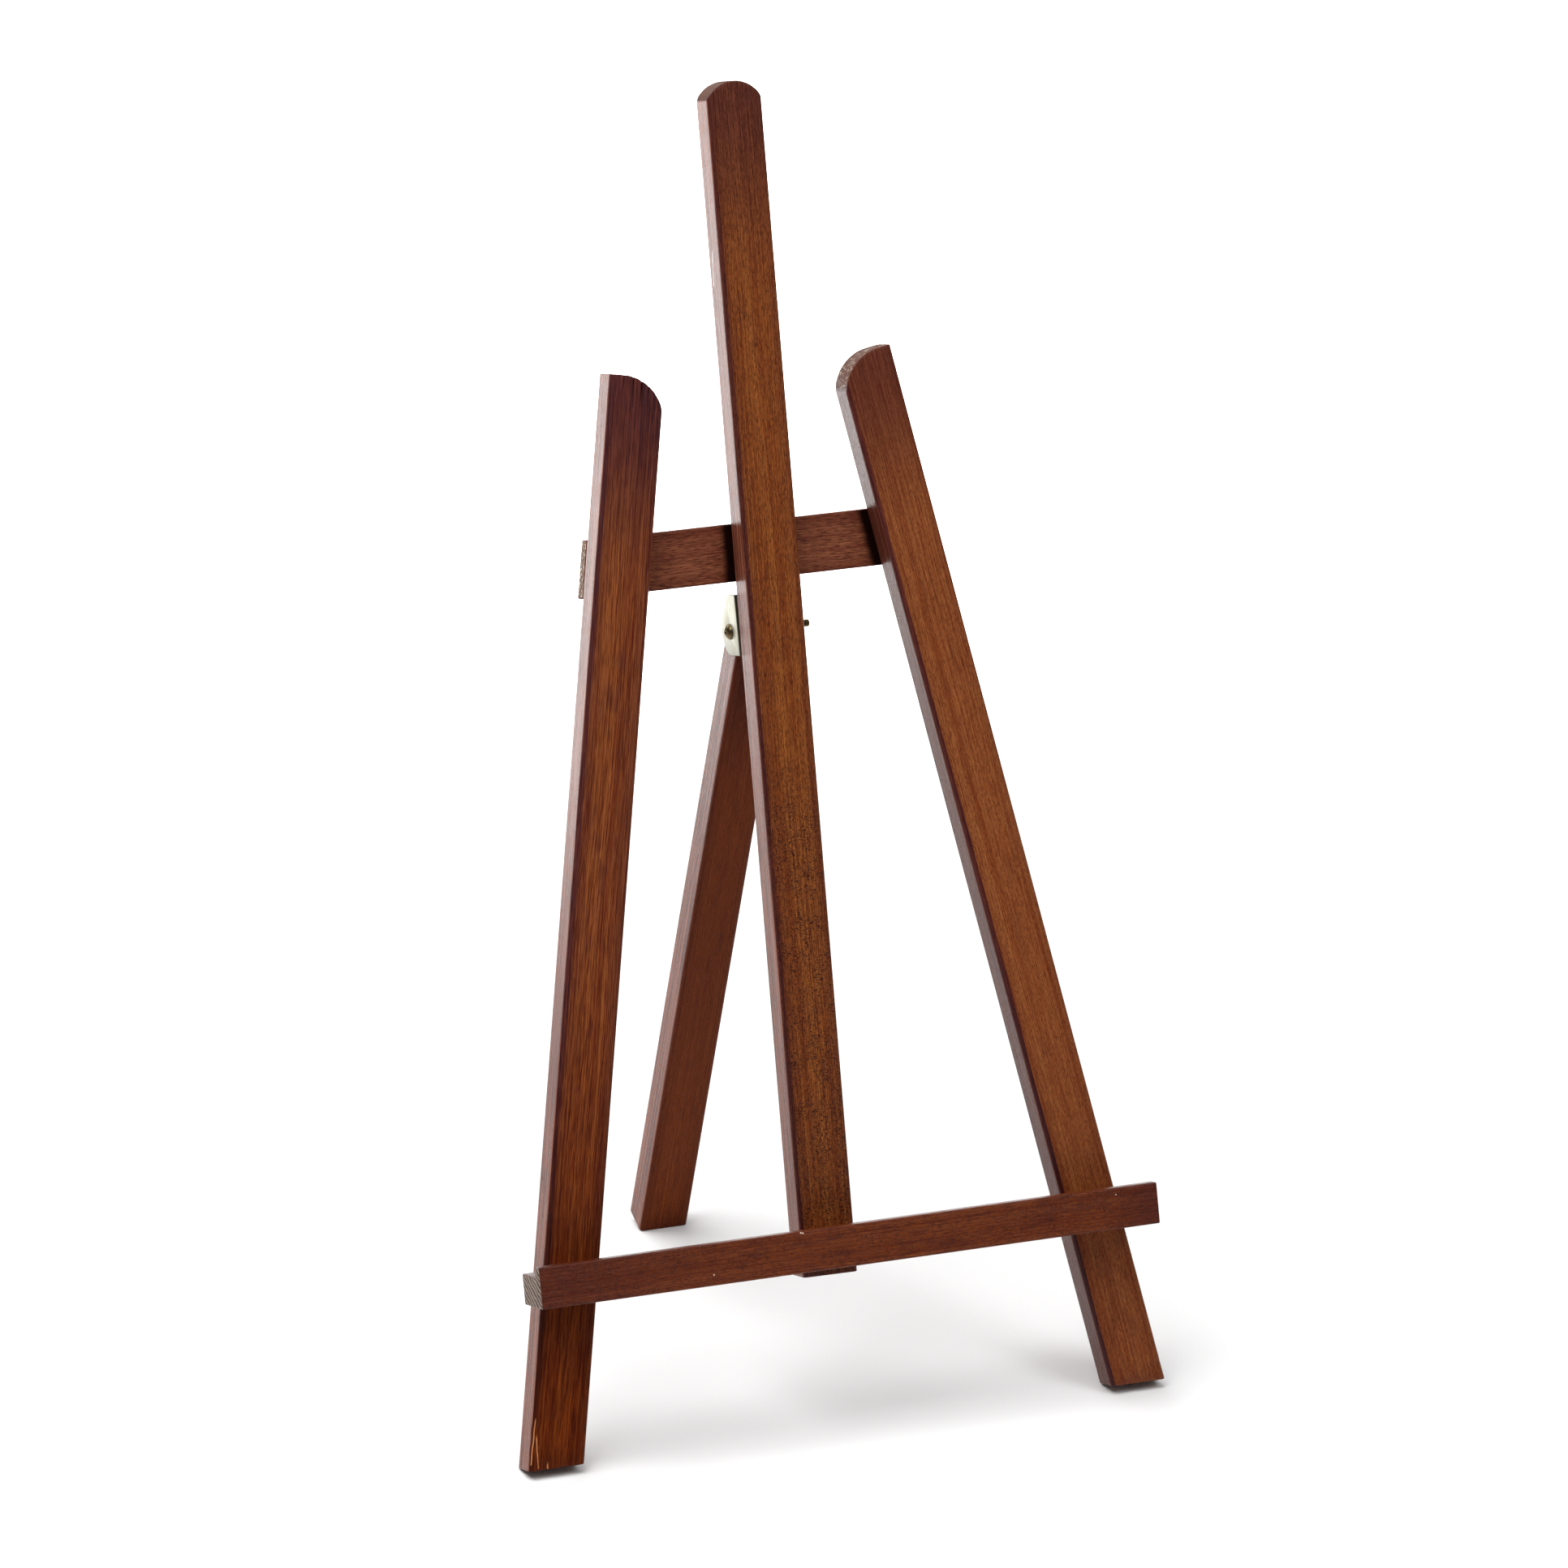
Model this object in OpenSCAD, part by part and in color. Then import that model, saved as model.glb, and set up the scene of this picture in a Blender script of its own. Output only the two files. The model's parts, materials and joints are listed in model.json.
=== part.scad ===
// Tabletop display easel: three flat wooden slats in one leaning frame, tied by
// a rear crossbar and a lipped front ledge, propped by a hinged rear leg.
// Millimetres. +Z up, -Y is the front. The origin is on the table top, below
// the middle of the easel's footprint.
//
// Words used in the code: the "frame plane" is the plane of the slats' front
// faces. Inside in_frame(), X is across, Y is the depth behind that plane and
// Z is the height measured up along it from the cut ends of the front legs.

/* [Front slats] */
// Width of the mast and of each front leg
slat_w = 22; // [20:0.5:24]
// Thickness of the mast and of each front leg
slat_t = 13.5; // [12:0.5:16]
// Radius of the eased long edges of every slat
ease_r = 1.4; // [0.6:0.1:2.4]
// Height of the mast's cut bottom end up the frame plane
mast_bottom = 58.2; // [40:0.1:62]
// Height of the top of the mast's arch up the frame plane
mast_top = 511.8; // [440:0.1:560]
// Radius of the arch across the mast's top end
mast_arch_r = 12.3; // [12:0.1:20]
// In-plane tilt of the mast, top towards +X, in degrees
mast_tilt = 0.7; // [-1:0.1:1]
// Length of a front leg along its own centre line
leg_length = 411.7; // [390:0.1:430]
// Radius of the rounded inner corner at the top of a front leg
leg_top_r = 17; // [12:0.5:20]
// Flat width left at the outer side of a front leg's top end
leg_top_flat = 5.5; // [4:0.5:8]
// Half the distance between the front feet, centre to centre
foot_x = 118.4; // [112:0.1:124]

/* [Stance] */
// Lean of the frame plane back from upright, in degrees
lean = 16.8; // [12:0.1:20]
// Splay of each front leg from the centre line, in degrees
splay = 10.2; // [9.5:0.1:11]
// Lean of the open rear leg from upright, in degrees
rear_lean = 20.6; // [17:0.1:24]

/* [Crossbar] */
// Height of the crossbar's lower edge up the frame plane
crossbar_low = 323.2; // [321:0.1:330]
// Height of the crossbar itself
crossbar_h = 22; // [20:0.5:24]
// Thickness of the crossbar
crossbar_t = 6; // [5:0.5:8]

/* [Ledge] */
// Height of the ledge's underside up the frame plane
ledge_low = 63.2; // [63:0.1:80]
// Length of the ledge
ledge_length = 249.5; // [244:0.5:260]
// Depth of the ledge in front of the slats
ledge_depth = 21.4; // [19:0.1:26]
// Thickness of the ledge below the seat
ledge_seat_h = 11.8; // [10:0.1:14]
// Rise of the lip above the seat
lip_rise = 4.1; // [3:0.1:6]
// Thickness of the lip
lip_t = 5.5; // [4:0.1:7]
// Radius of the eased edges of the ledge
ledge_ease_r = 0.7; // [0.3:0.1:1.2]

/* [Rear leg and hinge] */
// Width of the rear leg
rear_w = 20; // [19:0.5:21]
// Thickness of the rear leg
rear_t = 13.5; // [12:0.5:14]
// Length of the rear leg above the hinge bolt
rear_head = 12; // [11:0.5:13]
// Height of the hinge bolt up the frame plane
pivot_s = 304; // [302:0.1:304]
// Depth of the hinge bolt behind the mast's back
pivot_d = 9.8; // [9.6:0.1:10.4]
// Offset of the hinge from the centre plane
hinge_x = 0.6; // [-1:0.1:1]
// Thickness of the bracket's sheet metal
plate_t = 1; // [0.8:0.1:1.2]
// Radius of a bracket ear around the bolt
ear_r = 9; // [8:0.1:9.4]
// Height of the bracket's top edge above the bolt
ear_top = 14.3; // [14:0.1:15]
// Depth of the ear's top edge behind the mast's back
ear_top_depth = 8.6; // [7:0.1:9]
// Length of the hinge bolt under its head
bolt_length = 32; // [30:1:34]

/* [Hidden] */
$fn = 96;
through = 40;
slat_color = [0.42, 0.22, 0.13];
rear_leg_color = [0.33, 0.15, 0.08];
end_color = [0.36, 0.20, 0.12];
bracket_color = [0.90, 0.89, 0.80];
bolt_color = [0.36, 0.31, 0.20];
screw_color = [0.62, 0.61, 0.56];

// Fits
side_gap = 0.3;
stop_gap = 0.03;
bolt_bore_gap = 0.05;
bolt_hole_gap = 0.03;
screw_gap = 0.02;
leg_corner_cut = 1.2;

// Wood screws: [crest radius, root radius, head radius, thread pitch, point length]
wood_screw = [1.5, 1.1, 2.8, 1.2, 3.0];
bracket_screw = [1.2, 0.85, 2.2, 1.0, 2.4];
recess_w = 0.7;
recess_depth = 0.8;
recess_span = 0.95;
crossbar_screw_length = 16;
ledge_screw_length = 25;
bracket_screw_length = 11;
bracket_screw_up = 11.2;
bracket_screw_down = 5.8;
crossbar_screw_step = 5;

// Hinge bolt and nut, metric M3
bolt_r = 1.5;
bolt_root_r = 1.25;
bolt_pitch = 0.5;
bolt_head_r = 3;
bolt_head_h = 2;
bolt_head_dome_r = 3.4;
bolt_thread_length = 12;
shank_inset = 0.5;
nut_flats = 5.5;
nut_t = 2.4;
nut_chamfer = 0.35;

// Bracket
bracket_w = rear_w + 2 * side_gap + 2 * plate_t;
bend_r = 0.5;
ear_depth = pivot_d + ear_r;
stop_face = pivot_d - plate_t;
open_angle = lean + rear_lean;

// Where the easel stands
foot_lift = slat_t * sin(lean);
pivot_depth = slat_t + pivot_d;
pivot_y = pivot_s * sin(lean) + pivot_depth * cos(lean);
pivot_z = pivot_s * cos(lean) - pivot_depth * sin(lean) + foot_lift;
rear_drop = (pivot_z - rear_t / 2 * sin(rear_lean)) / cos(rear_lean);
front_y = (ledge_low + ledge_ease_r) * sin(lean)
    - (ledge_depth - ledge_ease_r) * cos(lean) - ledge_ease_r;
back_y = pivot_y + rear_drop * sin(rear_lean) + rear_t / 2 * cos(rear_lean);
mid_y = (front_y + back_y) / 2;

// Screw heights up the frame plane
crossbar_mid = crossbar_low + crossbar_h / 2;
ledge_screw_s = ledge_low + ledge_seat_h / 2;

// Centre line of the mast, and of a front leg (side -1 left, +1 right), at height s
function mast_x(s) = hinge_x + (s - pivot_s) * tan(mast_tilt);
function leg_x(side, s) = side * (foot_x - s * tan(splay));

// ---------- places ----------

module in_frame() {
    translate([0, -mid_y, foot_lift])
        rotate([-lean, 0, 0])
            children();
}

module at_pivot() {
    translate([hinge_x, pivot_y - mid_y, pivot_z])
        children();
}

// A screw driven forwards from depth d at (x, s), head flush with that depth
module driven(x, d, s) {
    translate([x, d, s])
        rotate([90, 0, 0])
            children();
}

// ---------- shared shapes ----------

// Rounded rectangle centred on the origin
module eased_rect(w, t, r) {
    square([w - 2 * r, t], center = true);
    square([w, t - 2 * r], center = true);
    for (i = [-1, 1], j = [-1, 1])
        translate([i * (w / 2 - r), j * (t / 2 - r)])
            circle(r);
}

// What an eased corner loses; the corner is at the origin, wood towards (i, j)
module corner_loss(r, i, j) {
    difference() {
        translate([min(0, i * r), min(0, j * r)])
            square(r);
        translate([i * r, j * r])
            circle(r);
    }
}

// Slat along Z, front face on Y = 0, from height z0 to z1
module slat_bar(w, t, z0, z1) {
    translate([0, t / 2, z0])
        linear_extrude(z1 - z0)
            eased_rect(w, t, ease_r);
}

// A 2D outline drawn in (X, Z), carried through the slat's thickness
module across_slat() {
    translate([0, through, 0])
        rotate([90, 0, 0])
            linear_extrude(2 * through)
                children();
}

// ---------- screws ----------

// Half section of a countersunk wood screw pointing along +Z from its flush head
function screw_section(s, len) = let (
        crest = s[0], root = s[1], head = s[2], pitch = s[3], point = s[4],
        neck = head - crest,
        first = neck + pitch,
        turns = floor((len - point - first) / pitch)
    ) concat(
        [[0, 0], [head, 0], [crest, neck], [root, first]],
        [for (i = [0 : turns - 1], k = [0 : 1])
            k == 0 ? [crest, first + (i + 0.5) * pitch] : [root, first + (i + 1) * pitch]],
        [[root, len - point], [0, len]]
    );

// Cross recess of the given span, cut from Z = 0 up
module cross_recess(span) {
    for (a = [0, 90])
        rotate([0, 0, a])
            cube([span, recess_w, 2 * recess_depth], center = true);
}

module screw_body(s, len) {
    difference() {
        rotate_extrude()
            polygon(screw_section(s, len));
        cross_recess(s[2] * recess_span);
    }
}

// Room for the same screw
module screw_room(s, len) {
    g = screw_gap;
    rotate_extrude()
        polygon([
            [0, -1], [s[2] + g + 1, -1], [s[2] + g, 0], [s[0] + g, s[2] - s[0]],
            [s[0] + g, len - s[4]], [0, len + 2 * g],
        ]);
}

module place_crossbar_screw(x, i) {
    driven(x + i * crossbar_screw_step, slat_t + crossbar_t, crossbar_mid + i * crossbar_screw_step)
        children();
}

module crossbar_screw_rooms(x) {
    for (i = [-1, 1])
        place_crossbar_screw(x, i)
            screw_room(wood_screw, crossbar_screw_length);
}

module place_ledge_screw(x) {
    driven(x, slat_t, ledge_screw_s)
        children();
}

module ledge_screw_room(x) {
    place_ledge_screw(x)
        screw_room(wood_screw, ledge_screw_length);
}

module place_bracket_screw(ds) {
    driven(hinge_x, slat_t + plate_t, pivot_s + ds)
        children();
}

module bracket_screw_rooms() {
    for (ds = [bracket_screw_up, -bracket_screw_down])
        place_bracket_screw(ds)
            screw_room(bracket_screw, bracket_screw_length);
}

module crossbar_screw(x, i) {
    color(screw_color)
        in_frame()
            place_crossbar_screw(x, i)
                screw_body(wood_screw, crossbar_screw_length);
}

module ledge_screw(x) {
    color(screw_color)
        in_frame()
            place_ledge_screw(x)
                screw_body(wood_screw, ledge_screw_length);
}

module bracket_fixing(ds) {
    color(screw_color)
        in_frame()
            place_bracket_screw(ds)
                screw_body(bracket_screw, bracket_screw_length);
}

// ---------- front frame ----------

module mast() {
    top = mast_top - pivot_s;
    bottom = mast_bottom - pivot_s;
    color(slat_color)
        in_frame()
            difference() {
                translate([hinge_x, 0, pivot_s])
                    rotate([0, mast_tilt, 0])
                        intersection() {
                            slat_bar(slat_w, slat_t, bottom, top);
                            across_slat() {
                                translate([0, top - mast_arch_r])
                                    circle(mast_arch_r);
                                translate([-slat_w, bottom])
                                    square([2 * slat_w, top - mast_arch_r - bottom]);
                            }
                        }
                crossbar_screw_rooms(mast_x(crossbar_mid));
                ledge_screw_room(mast_x(ledge_screw_s));
                bracket_screw_rooms();
            }
}

// Outline of a front leg in its own (X, Z): +X is the outer edge
module leg_outline() {
    arc_x = slat_w / 2 - leg_top_flat;
    arc_z = leg_length - leg_top_r;
    translate([-slat_w, -slat_w])
        square([2 * slat_w, slat_w + arc_z]);
    translate([arc_x, -slat_w])
        square([2 * slat_w, slat_w + leg_length]);
    translate([arc_x, arc_z])
        circle(leg_top_r);
}

module front_leg(side) {
    crossing = leg_x(side, crossbar_mid);
    ledge_crossing = leg_x(side, ledge_screw_s);
    in_frame()
        difference() {
            translate([side * foot_x, 0, 0])
                rotate([0, -side * splay, 0])
                    mirror([side < 0 ? 1 : 0, 0, 0])
                        intersection() {
                            slat_bar(slat_w, slat_t, -slat_w, leg_length);
                            across_slat()
                                leg_outline();
                        }
            translate([side * foot_x - 2 * slat_w, -slat_t, -2 * slat_w])
                cube([4 * slat_w, 3 * slat_t, 2 * slat_w]);
            crossbar_screw_rooms(crossing);
            ledge_screw_room(ledge_crossing);
        }
}

module left_leg() {
    color(slat_color)
        front_leg(-1);
}

module right_leg() {
    color(slat_color)
        front_leg(1);
}

// Rear tie behind the slats, its ends flush with the legs' outer edges
module crossbar() {
    outer = slat_w / 2 / cos(splay);
    high = crossbar_low + crossbar_h;
    low_x = leg_x(1, crossbar_low) + outer;
    high_x = leg_x(1, high) + outer;
    color(end_color)
        in_frame()
            difference() {
                intersection() {
                    translate([-low_x - 1, slat_t + crossbar_t / 2, crossbar_mid])
                        rotate([90, 0, 90])
                            linear_extrude(2 * low_x + 2)
                                eased_rect(crossbar_t, crossbar_h, ease_r * 0.7);
                    across_slat()
                        polygon([
                            [-low_x, crossbar_low], [low_x, crossbar_low],
                            [high_x, high], [-high_x, high],
                        ]);
                }
                for (side = [-1, 1])
                    crossbar_screw_rooms(leg_x(side, crossbar_mid));
                crossbar_screw_rooms(mast_x(crossbar_mid));
            }
}

// Section of the ledge in (depth, height), rear face on 0, lip at the front
module ledge_section() {
    r = ledge_ease_r;
    lip_back = lip_t - ledge_depth;
    lip_top = ledge_seat_h + lip_rise;
    difference() {
        union() {
            translate([-ledge_depth, 0])
                square([ledge_depth, ledge_seat_h]);
            translate([-ledge_depth, 0])
                square([lip_t, lip_top]);
        }
        corner_loss(r, -1, 1);
        translate([-ledge_depth, 0])
            corner_loss(r, 1, 1);
        translate([-ledge_depth, lip_top])
            corner_loss(r, 1, -1);
        translate([lip_back, lip_top])
            corner_loss(r, -1, -1);
        translate([0, ledge_seat_h])
            corner_loss(r, -1, -1);
    }
}

module ledge() {
    color(slat_color)
        in_frame()
            difference() {
                translate([-ledge_length / 2, 0, ledge_low])
                    rotate([90, 0, 90])
                        linear_extrude(ledge_length)
                            ledge_section();
                for (side = [-1, 1])
                    ledge_screw_room(leg_x(side, ledge_screw_s));
                ledge_screw_room(mast_x(ledge_screw_s));
            }
}

// ---------- hinge ----------

// U section of the bracket in (X, depth), web against the mast's back
module bracket_section() {
    inner_w = bracket_w - 2 * plate_t;
    outer_r = bend_r + plate_t;
    difference() {
        translate([-bracket_w / 2, 0])
            square([bracket_w, ear_depth]);
        translate([-inner_w / 2, plate_t + bend_r])
            square([inner_w, ear_depth]);
        translate([-inner_w / 2 + bend_r, plate_t])
            square([inner_w - 2 * bend_r, ear_depth]);
        for (i = [-1, 1]) {
            translate([i * (inner_w / 2 - bend_r), plate_t + bend_r])
                circle(bend_r);
            translate([i * bracket_w / 2, 0])
                corner_loss(outer_r, -i, 1);
        }
    }
}

// Side outline of the bracket in (depth, height), the bolt at height 0
module bracket_outline() {
    to_corner = [ear_top_depth - pivot_d, ear_top];
    reach = norm(to_corner);
    tangent = atan2(to_corner[1], to_corner[0]) - acos(ear_r / reach);
    touch = [pivot_d + ear_r * cos(tangent), ear_r * sin(tangent)];
    translate([pivot_d, 0])
        circle(ear_r);
    polygon([
        [0, -ear_r], [pivot_d, -ear_r], [pivot_d, 0], touch,
        [ear_top_depth, ear_top], [0, ear_top],
    ]);
}

module hinge_bracket() {
    color(bracket_color)
        in_frame()
            difference() {
                translate([hinge_x, slat_t, pivot_s])
                    intersection() {
                        translate([0, 0, -ear_r - 1])
                            linear_extrude(ear_r + ear_top + 2)
                                bracket_section();
                        translate([-bracket_w, 0, 0])
                            rotate([90, 0, 90])
                                linear_extrude(2 * bracket_w)
                                    bracket_outline();
                    }
                translate([hinge_x - bracket_w, pivot_depth, pivot_s])
                    rotate([0, 90, 0])
                        cylinder(r = bolt_r + bolt_hole_gap, h = 2 * bracket_w);
                bracket_screw_rooms();
            }
}

// Half section of the bolt along +Z: head below 0, shank above, threaded end
function bolt_section() = let (
        start = bolt_length - bolt_thread_length,
        turns = floor((bolt_thread_length - bolt_pitch) / bolt_pitch)
    ) concat(
        [[0, -shank_inset], [bolt_r, -shank_inset], [bolt_r, start]],
        [for (i = [0 : turns - 1], k = [0 : 1]) k == 0
            ? [bolt_root_r, start + (i + 0.5) * bolt_pitch]
            : [bolt_r, start + (i + 1) * bolt_pitch]],
        [[bolt_root_r, bolt_length], [0, bolt_length]]
    );

module bolt_head() {
    difference() {
        intersection() {
            translate([0, 0, -bolt_head_h])
                cylinder(r = bolt_head_r, h = bolt_head_h);
            translate([0, 0, bolt_head_dome_r - bolt_head_h])
                sphere(bolt_head_dome_r);
        }
        translate([0, 0, -bolt_head_h])
            cross_recess(bolt_head_r);
    }
}

module hinge_bolt() {
    color(bolt_color)
        at_pivot()
            translate([-bracket_w / 2, 0, 0])
                rotate([0, 90, 0]) {
                    rotate_extrude()
                        polygon(bolt_section());
                    bolt_head();
                }
}

module hinge_nut() {
    corner_r = nut_flats / 2 / cos(30);
    color(bolt_color)
        at_pivot()
            translate([bracket_w / 2, 0, 0])
                rotate([0, 90, 0])
                    difference() {
                        intersection() {
                            linear_extrude(nut_t)
                                polygon([for (a = [0 : 60 : 300]) corner_r * [cos(a), sin(a)]]);
                            cylinder(r1 = corner_r + nut_t, r2 = corner_r - nut_chamfer, h = nut_t);
                        }
                        translate([0, 0, -1])
                            cylinder(r = bolt_r + bolt_hole_gap, h = nut_t + 2);
                    }
}

// Rear leg with the bolt at the origin, +Z up the leg, +Y towards its back
module rear_leg_body() {
    stop = stop_face - stop_gap;
    difference() {
        translate([0, -rear_t / 2, 0])
            slat_bar(rear_w, rear_t, -rear_drop, rear_head);
        rotate([-open_angle, 0, 0]) {
            translate([-rear_w, -stop - 2 * rear_w, -2 * rear_w])
                cube([2 * rear_w, 2 * rear_w, 4 * rear_w]);
            for (i = [-1, 1])
                translate([i * rear_w / 2, -stop, 0])
                    rotate([0, 0, 45])
                        cube([leg_corner_cut, leg_corner_cut, 3 * rear_w], center = true);
        }
        translate([-rear_w, 0, 0])
            rotate([0, 90, 0])
                cylinder(r = bolt_r + bolt_bore_gap, h = 2 * rear_w);
    }
}

module rear_leg() {
    color(rear_leg_color)
        at_pivot()
            rotate([rear_lean, 0, 0])
                rear_leg_body();
}

mast();
left_leg();
right_leg();
crossbar();
ledge();
rear_leg();
hinge_bracket();
hinge_bolt();
hinge_nut();
bracket_fixing(bracket_screw_up);  // bracket_screw_upper
bracket_fixing(-bracket_screw_down);  // bracket_screw_lower
crossbar_screw(leg_x(-1, crossbar_mid), 1);  // crossbar_screw_left_upper
crossbar_screw(leg_x(-1, crossbar_mid), -1);  // crossbar_screw_left_lower
crossbar_screw(mast_x(crossbar_mid), 1);  // crossbar_screw_mast_upper
crossbar_screw(mast_x(crossbar_mid), -1);  // crossbar_screw_mast_lower
crossbar_screw(leg_x(1, crossbar_mid), 1);  // crossbar_screw_right_upper
crossbar_screw(leg_x(1, crossbar_mid), -1);  // crossbar_screw_right_lower
ledge_screw(leg_x(-1, ledge_screw_s));  // ledge_screw_left
ledge_screw(mast_x(ledge_screw_s));  // ledge_screw_mast
ledge_screw(leg_x(1, ledge_screw_s));  // ledge_screw_right
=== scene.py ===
import json
import math

import bmesh
import bpy
import numpy as np
from mathutils import Matrix, Vector, noise


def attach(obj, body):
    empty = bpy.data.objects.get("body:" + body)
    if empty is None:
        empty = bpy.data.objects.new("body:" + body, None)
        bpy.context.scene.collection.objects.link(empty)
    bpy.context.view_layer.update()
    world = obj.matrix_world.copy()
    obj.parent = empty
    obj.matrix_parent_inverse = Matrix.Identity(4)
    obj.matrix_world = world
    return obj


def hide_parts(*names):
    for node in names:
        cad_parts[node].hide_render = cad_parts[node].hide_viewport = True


# Looks of a tabletop display easel: stained wooden slats, a lipped ledge and a small metal
# hinge. Slat-local coordinates are (u across, d depth behind the front face, v along the
# grain) in millimetres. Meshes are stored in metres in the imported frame.

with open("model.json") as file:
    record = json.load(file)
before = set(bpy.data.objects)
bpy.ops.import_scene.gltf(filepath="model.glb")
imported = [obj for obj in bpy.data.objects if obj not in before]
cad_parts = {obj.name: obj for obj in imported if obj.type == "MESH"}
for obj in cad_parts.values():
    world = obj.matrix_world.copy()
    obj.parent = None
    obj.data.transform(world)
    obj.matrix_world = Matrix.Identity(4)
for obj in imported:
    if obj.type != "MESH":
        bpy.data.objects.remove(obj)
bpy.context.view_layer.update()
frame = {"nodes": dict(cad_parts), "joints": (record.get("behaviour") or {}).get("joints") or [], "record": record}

MM = 0.001

# ---------- driving dimensions, in millimetres and degrees ----------

SLAT_W = 22.0
SLAT_T = 13.5
# Radius of the long edges, and of the edges round a slat's ends
EASE = 1.4
END_EASE = 0.45
MAST_BOTTOM = 58.2
MAST_TOP = 511.8
MAST_ARCH_R = 12.3
MAST_TILT = 0.7
LEG_LENGTH = 411.7
LEG_TOP_R = 17.0
LEG_TOP_FLAT = 5.5
FOOT_X = 118.4
SPLAY = math.radians(10.2)
REAR_LEAN = math.radians(20.6)
CROSSBAR_LOW = 323.2
CROSSBAR_H = 22.0
CROSSBAR_T = 6.0
CROSSBAR_EASE = EASE * 0.7
LEDGE_LOW = 63.2
LEDGE_LENGTH = 249.5
LEDGE_DEPTH = 21.4
LEDGE_SEAT = 11.8
LIP_RISE = 4.1
LIP_T = 5.5
LEDGE_EASE = 0.7
REAR_W = 20.0
REAR_T = 13.5
REAR_HEAD = 12.0
# The hinge bolt's place up the frame's plane and behind the mast's back, and its bore
PIVOT_S = 304.0
PIVOT_D = 9.8
BOLT_BORE_R = 1.55
PLATE_T = 1.0
# Gap between the rear leg's bevel and the bracket's web
STOP_GAP = 0.03
# The picture_rest mount's place up the frame's plane
PICTURE_REST_S = 250.0

# Screws: (head radius, shank radius, length, point length)
WOOD_SCREW = (2.82, 1.53, 16.0, 3.0)
LEDGE_SCREW = (2.82, 1.53, 25.0, 3.0)
BRACKET_SCREW = (2.22, 1.23, 11.0, 2.4)
CROSSBAR_SCREW_STEP = 5.0
BRACKET_SCREW_UP = 11.2
BRACKET_SCREW_DOWN = 5.8

# ---------- places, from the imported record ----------


def mount(name):
    return next(m for m in frame["record"]["mounts"] if m["name"] == name)


REST = mount("picture_rest")
LEAN = math.atan2(REST["axis"][2], -REST["axis"][1])
UP_PLANE = Vector((0, math.sin(LEAN), math.cos(LEAN)))
PLANE_ORIGIN = Vector((0, REST["pos_m"][1], REST["pos_m"][2])) - UP_PLANE * PICTURE_REST_S * MM
PIVOT = Vector(frame["joints"][0]["pos_m"])
HINGE_X = PIVOT.x / MM
CROSSBAR_MID = CROSSBAR_LOW + CROSSBAR_H / 2
LEDGE_SCREW_S = LEDGE_LOW + LEDGE_SEAT / 2


def mast_x(s):
    return HINGE_X + (s - PIVOT_S) * math.tan(math.radians(MAST_TILT))


def leg_x(side, s):
    return side * (FOOT_X - s * math.tan(SPLAY))


# Matrices from slat-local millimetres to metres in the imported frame
PLANE = Matrix.Translation(PLANE_ORIGIN) @ Matrix.Rotation(-LEAN, 4, "X") @ Matrix.Scale(MM, 4)


def on_plane(x, s, turn=0.0, depth=0.0):
    return PLANE @ Matrix.Translation((x, depth, s)) @ Matrix.Rotation(turn, 4, "Y")


REAR = Matrix.Translation(PIVOT) @ Matrix.Rotation(REAR_LEAN, 4, "X") @ Matrix.Scale(MM, 4)


# ---------- mesh helpers ----------

SHARP_ANGLE = math.radians(35.0)


def make_object(name, vertices, faces, materials=()):
    mesh = bpy.data.meshes.new(name)
    mesh.from_pydata([tuple(v) for v in vertices], [], faces)
    mesh.validate()
    mesh.update()
    for material in materials:
        mesh.materials.append(material)
    shade_smooth(mesh)
    obj = bpy.data.objects.new(name, mesh)
    bpy.context.scene.collection.objects.link(obj)
    return obj


def shade_smooth(mesh):
    mesh.polygons.foreach_set("use_smooth", [True] * len(mesh.polygons))
    mesh.set_sharp_from_angle(angle=SHARP_ANGLE)


def placed(points, matrix):
    """Points in slat-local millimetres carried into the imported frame."""
    m = np.array(matrix)
    return points @ m[:3, :3].T + m[:3, 3]


def apply_modifiers(obj):
    graph = bpy.context.evaluated_depsgraph_get()
    mesh = bpy.data.meshes.new_from_object(obj.evaluated_get(graph))
    obj.modifiers.clear()
    obj.data = mesh


def cut(obj, cutters):
    """Takes the cutters' room out of a piece, and removes the cutters."""
    for cutter in cutters:
        step = obj.modifiers.new("cut", "BOOLEAN")
        step.operation = "DIFFERENCE"
        step.solver = "EXACT"
        step.object = cutter
    bpy.context.view_layer.update()
    apply_modifiers(obj)
    for cutter in cutters:
        bpy.data.objects.remove(cutter)
    obj.data.set_sharp_from_angle(angle=SHARP_ANGLE)


def lathe(profile, segments):
    """Vertices and faces of a closed solid turned round Z, from (radius, height) pairs that
    start and end on the axis."""
    turns = [2 * math.pi * k / segments for k in range(segments)]
    vertices = [(0, 0, profile[0][1])]
    for radius, height in profile[1:-1]:
        vertices += [(radius * math.cos(a), radius * math.sin(a), height) for a in turns]
    vertices.append((0, 0, profile[-1][1]))
    faces = []
    bands = len(profile) - 3
    last = len(vertices) - 1
    for k in range(segments):
        n = (k + 1) % segments
        faces.append((0, 1 + n, 1 + k))
        for band in range(bands):
            a = 1 + band * segments
            b = a + segments
            faces.append((a + k, a + n, b + n, b + k))
        a = 1 + bands * segments
        faces.append((a + k, a + n, last))
    return np.array(vertices, float), faces


def screw_room(screw, matrix):
    """Cutter for a countersunk screw that goes in along local +Z from a flush head."""
    head, shank, length, point = screw
    profile = [(0, -1), (head + 1, -1), (head, 0), (shank, head - shank)]
    profile += [(shank, length - point), (0, length + 0.05)]
    vertices, faces = lathe(profile, 24)
    return make_object("room", placed(vertices, matrix), faces)


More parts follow.
